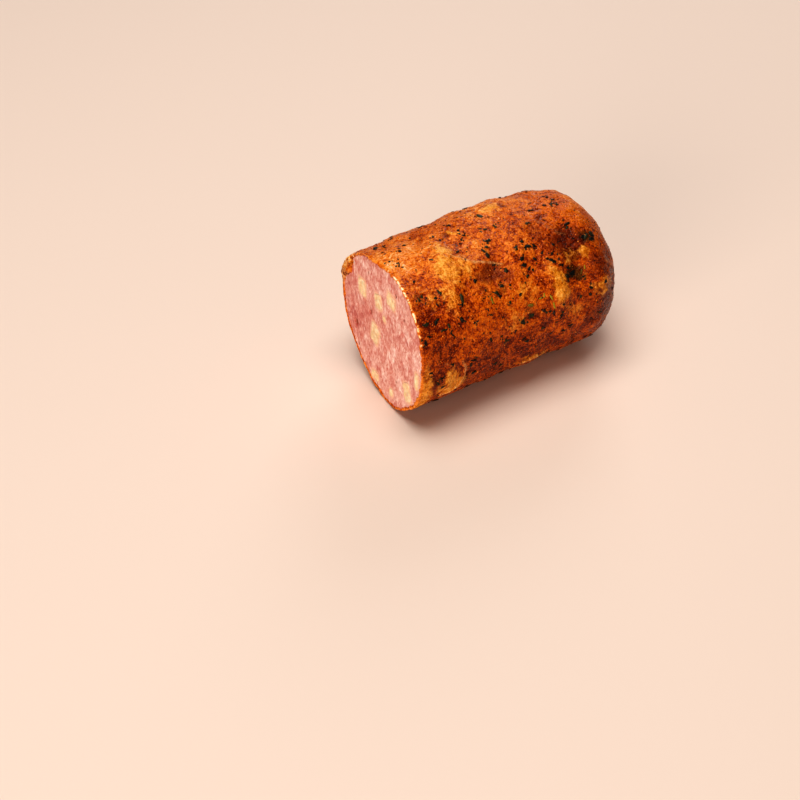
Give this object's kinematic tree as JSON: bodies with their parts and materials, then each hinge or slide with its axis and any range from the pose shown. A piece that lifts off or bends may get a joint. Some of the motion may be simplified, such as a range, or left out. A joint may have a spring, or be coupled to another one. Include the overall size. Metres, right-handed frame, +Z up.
{
  "type": "grill sausage",
  "caption": "Thick grill sausage lying on its side, browned and herb-crusted, cut across at one end to show pink meat with cheese cubes, rounded at the other.",
  "frame": {"origin": "middle of the underside: the middle of the part's outline seen from above, at the height of the surface it rests on", "axes": "+X along the sausage from the cut face to the rounded end, +Z up, +Y to the side"},
  "size_m": [0.117, 0.082, 0.073],
  "materials": {
    "crust": "greasy browned crust with dark herb and pepper flakes; the cut face is moist pink meat",
    "cheese": "soft pale yellow cheese"
  },
  "bodies": {
    "root": {"sausage": "crust", "cheese_cube_1": "cheese", "cheese_cube_2": "cheese", "cheese_cube_3": "cheese", "cheese_cube_4": "cheese", "cheese_cube_5": "cheese", "cheese_cube_6": "cheese", "cheese_cube_7": "cheese", "cheese_cube_8": "cheese", "cheese_cube_9": "cheese"}
  },
  "joints": []
}
